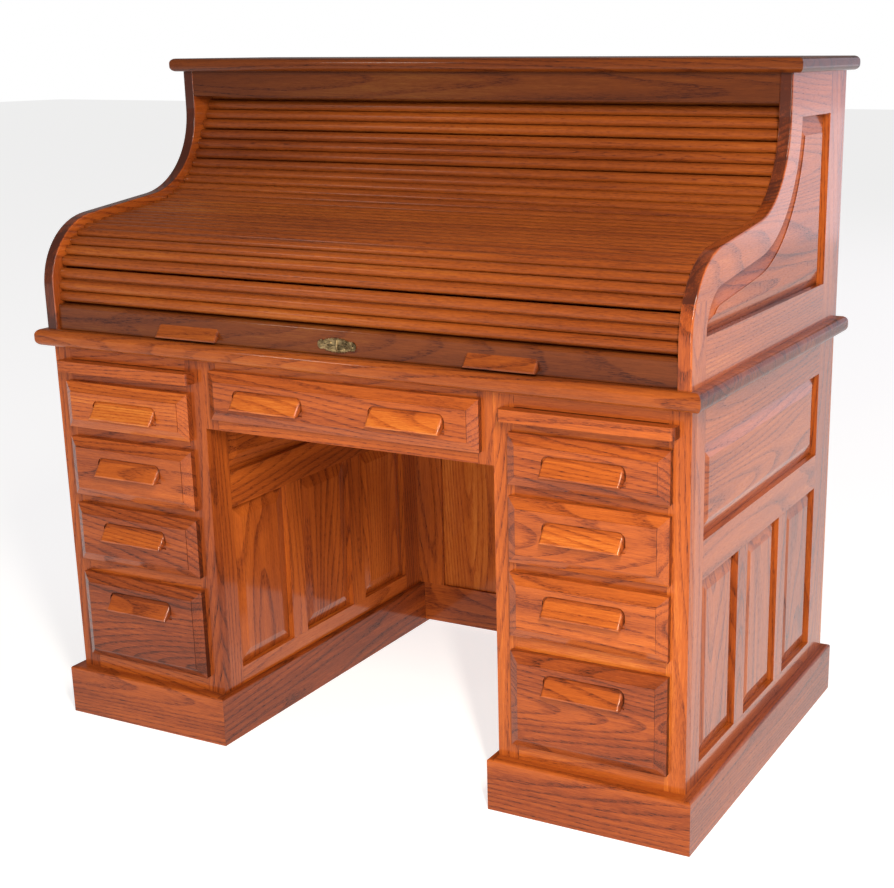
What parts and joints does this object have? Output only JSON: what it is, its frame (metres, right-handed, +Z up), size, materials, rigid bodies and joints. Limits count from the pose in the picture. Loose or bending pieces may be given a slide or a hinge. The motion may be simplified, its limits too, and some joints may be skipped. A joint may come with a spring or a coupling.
{
  "type": "roll top desk",
  "caption": "Twin-pedestal roll-top desk in oak: tambour curtain between S-shaped sides, drawers, pull-out writing slides, kneehole and pigeonholes.",
  "frame": {"origin": "on the floor, at the middle of the desk's box in plan", "axes": "+X to the right along the desk's width, +Y from the front towards the back, +Z up"},
  "size_m": [1.372, 0.809, 1.292],
  "materials": {
    "oak": "reddish oak, gloss lacquer",
    "drawer_oak": "plain oak, satin",
    "oak_ply": "oak-faced plywood, satin",
    "brass": "aged brass",
    "lock_steel": "plain steel",
    "canvas": "woven cotton duck"
  },
  "bodies": {
    "carcase": {"left_plinth": "oak", "left_face_frame": "oak", "left_outer_side_frame": "oak", "left_inner_side_frame": "oak", "left_drawer_runners": "drawer_oak", "left_s_side": "oak", "right_plinth": "oak", "right_face_frame": "oak", "right_outer_side_frame": "oak", "right_inner_side_frame": "oak", "right_drawer_runners": "drawer_oak", "right_s_side": "oak", "outer_side_panels": "oak", "inner_side_panels": "oak", "pedestal_backs": "oak_ply", "kneehole_apron": "oak", "centre_drawer_runners": "drawer_oak", "kneehole_back_frame": "oak", "kneehole_back_panels": "oak", "desk_top": "oak", "top_board": "oak", "s_side_panels": "oak", "fascia": "oak", "upper_back": "oak_ply", "pigeonhole_unit": "oak"},
    "left_drawer_1": {"left_drawer_1_front": "oak", "left_drawer_1_box": "drawer_oak"},
    "left_drawer_2": {"left_drawer_2_front": "oak", "left_drawer_2_box": "drawer_oak"},
    "left_drawer_3": {"left_drawer_3_front": "oak", "left_drawer_3_box": "drawer_oak"},
    "left_drawer_4": {"left_drawer_4_front": "oak", "left_drawer_4_box": "drawer_oak"},
    "left_writing_slide": {"left_writing_slide": "oak"},
    "right_drawer_1": {"right_drawer_1_front": "oak", "right_drawer_1_box": "drawer_oak"},
    "right_drawer_2": {"right_drawer_2_front": "oak", "right_drawer_2_box": "drawer_oak"},
    "right_drawer_3": {"right_drawer_3_front": "oak", "right_drawer_3_box": "drawer_oak"},
    "right_drawer_4": {"right_drawer_4_front": "oak", "right_drawer_4_box": "drawer_oak"},
    "right_writing_slide": {"right_writing_slide": "oak"},
    "centre_drawer": {"centre_drawer_front": "oak", "centre_drawer_box": "drawer_oak"},
    "lift_bar": {"lift_bar": "oak", "lift_bar_pulls": "oak", "escutcheon": "brass", "curtain_lock": "lock_steel"},
    "curtain_01": {"curtain_slats_01": "oak"},
    "curtain_02": {"curtain_slats_02": "oak"},
    "curtain_03": {"curtain_slats_03": "oak"},
    "curtain_04": {"curtain_slats_04": "oak"},
    "curtain_05": {"curtain_slats_05": "oak"},
    "curtain_06": {"curtain_slats_06": "oak"},
    "curtain_07": {"curtain_slats_07": "oak"},
    "curtain_08": {"curtain_slats_08": "oak"},
    "curtain_09": {"curtain_slats_09": "oak"},
    "curtain_10": {"curtain_slats_10": "oak"},
    "curtain_11": {"curtain_slats_11": "oak"}
  },
  "joints": [
    {"name": "left_drawer_1_slide", "type": "slide", "parent": "carcase", "child": "left_drawer_1", "axis": [0, -1, 0], "range_m": [0, 0.42]},
    {"name": "left_drawer_2_slide", "type": "slide", "parent": "carcase", "child": "left_drawer_2", "axis": [0, -1, 0], "range_m": [0, 0.42]},
    {"name": "left_drawer_3_slide", "type": "slide", "parent": "carcase", "child": "left_drawer_3", "axis": [0, -1, 0], "range_m": [0, 0.42]},
    {"name": "left_drawer_4_slide", "type": "slide", "parent": "carcase", "child": "left_drawer_4", "axis": [0, -1, 0], "range_m": [0, 0.42]},
    {"name": "left_writing_slide_travel", "type": "slide", "parent": "carcase", "child": "left_writing_slide", "axis": [0, -1, 0], "range_m": [0, 0.3]},
    {"name": "right_drawer_1_slide", "type": "slide", "parent": "carcase", "child": "right_drawer_1", "axis": [0, -1, 0], "range_m": [0, 0.42]},
    {"name": "right_drawer_2_slide", "type": "slide", "parent": "carcase", "child": "right_drawer_2", "axis": [0, -1, 0], "range_m": [0, 0.42]},
    {"name": "right_drawer_3_slide", "type": "slide", "parent": "carcase", "child": "right_drawer_3", "axis": [0, -1, 0], "range_m": [0, 0.42]},
    {"name": "right_drawer_4_slide", "type": "slide", "parent": "carcase", "child": "right_drawer_4", "axis": [0, -1, 0], "range_m": [0, 0.42]},
    {"name": "right_writing_slide_travel", "type": "slide", "parent": "carcase", "child": "right_writing_slide", "axis": [0, -1, 0], "range_m": [0, 0.3]},
    {"name": "centre_drawer_slide", "type": "slide", "parent": "carcase", "child": "centre_drawer", "axis": [0, -1, 0], "range_m": [0, 0.36]},
    {"name": "lift_bar_turn", "type": "hinge", "parent": "carcase", "child": "lift_bar", "pos_m": [0, -0.16224, 0.80215], "axis": [-1, 0, 0], "range_deg": [0, 83.5]},
    {"name": "curtain_01_turn", "type": "hinge", "parent": "carcase", "child": "curtain_01", "pos_m": [0, -0.15185, 0.78745], "axis": [-1, 0, 0], "range_deg": [0, 76.93]},
    {"name": "curtain_02_turn", "type": "hinge", "parent": "carcase", "child": "curtain_02", "pos_m": [0, -0.06484, 0.52616], "axis": [-1, 0, 0], "range_deg": [0, 34.79]},
    {"name": "curtain_03_turn", "type": "hinge", "parent": "carcase", "child": "curtain_03", "pos_m": [0, -0.32095, 1.84425], "axis": [1, 0, 0], "range_deg": [0, 19.47]},
    {"name": "curtain_04_turn", "type": "hinge", "parent": "carcase", "child": "curtain_04", "pos_m": [0, -0.18001, 1.32766], "axis": [1, 0, 0], "range_deg": [0, 49.53]},
    {"name": "curtain_05_turn", "type": "hinge", "parent": "carcase", "child": "curtain_05", "pos_m": [0, -0.16324, 1.29373], "axis": [1, 0, 0], "range_deg": [0, 55.5]},
    {"name": "curtain_06_turn", "type": "hinge", "parent": "carcase", "child": "curtain_06", "pos_m": [0, -0.22098, 1.36478], "axis": [1, 0, 0], "range_deg": [0, 42.71]},
    {"name": "curtain_07_turn", "type": "hinge", "parent": "carcase", "child": "curtain_07", "pos_m": [0, 0.83644, 0.43205], "axis": [-1, 0, 0], "range_deg": [0, 15.95]},
    {"name": "curtain_08_turn", "type": "hinge", "parent": "carcase", "child": "curtain_08", "pos_m": [0, 0.30194, 0.96069], "axis": [-1, 0, 0], "range_deg": [0, 57.78]},
    {"name": "curtain_09_turn", "type": "hinge", "parent": "carcase", "child": "curtain_09", "pos_m": [0, 0.22175, 1.08648], "axis": [-1, 0, 0], "range_deg": [0, 112.95]},
    {"name": "curtain_10_turn", "type": "hinge", "parent": "carcase", "child": "curtain_10", "pos_m": [0, 0.21636, 1.12912], "axis": [-1, 0, 0], "range_deg": [0, 147.65]},
    {"name": "curtain_11_turn", "type": "hinge", "parent": "carcase", "child": "curtain_11", "pos_m": [0, 0.2023, 1.1005], "axis": [-1, 0, 0], "range_deg": [0, 120.13]}
  ],
  "couplings": [
    {"joint": "curtain_01_turn", "follows": "lift_bar_turn", "ratio": 0.92135},
    {"joint": "curtain_02_turn", "follows": "lift_bar_turn", "ratio": 0.41664},
    {"joint": "curtain_03_turn", "follows": "lift_bar_turn", "ratio": 0.23321},
    {"joint": "curtain_04_turn", "follows": "lift_bar_turn", "ratio": 0.59319},
    {"joint": "curtain_05_turn", "follows": "lift_bar_turn", "ratio": 0.66467},
    {"joint": "curtain_06_turn", "follows": "lift_bar_turn", "ratio": 0.51149},
    {"joint": "curtain_07_turn", "follows": "lift_bar_turn", "ratio": 0.19096},
    {"joint": "curtain_08_turn", "follows": "lift_bar_turn", "ratio": 0.69198},
    {"joint": "curtain_09_turn", "follows": "lift_bar_turn", "ratio": 1.3527},
    {"joint": "curtain_10_turn", "follows": "lift_bar_turn", "ratio": 1.7683},
    {"joint": "curtain_11_turn", "follows": "lift_bar_turn", "ratio": 1.4387}
  ]
}
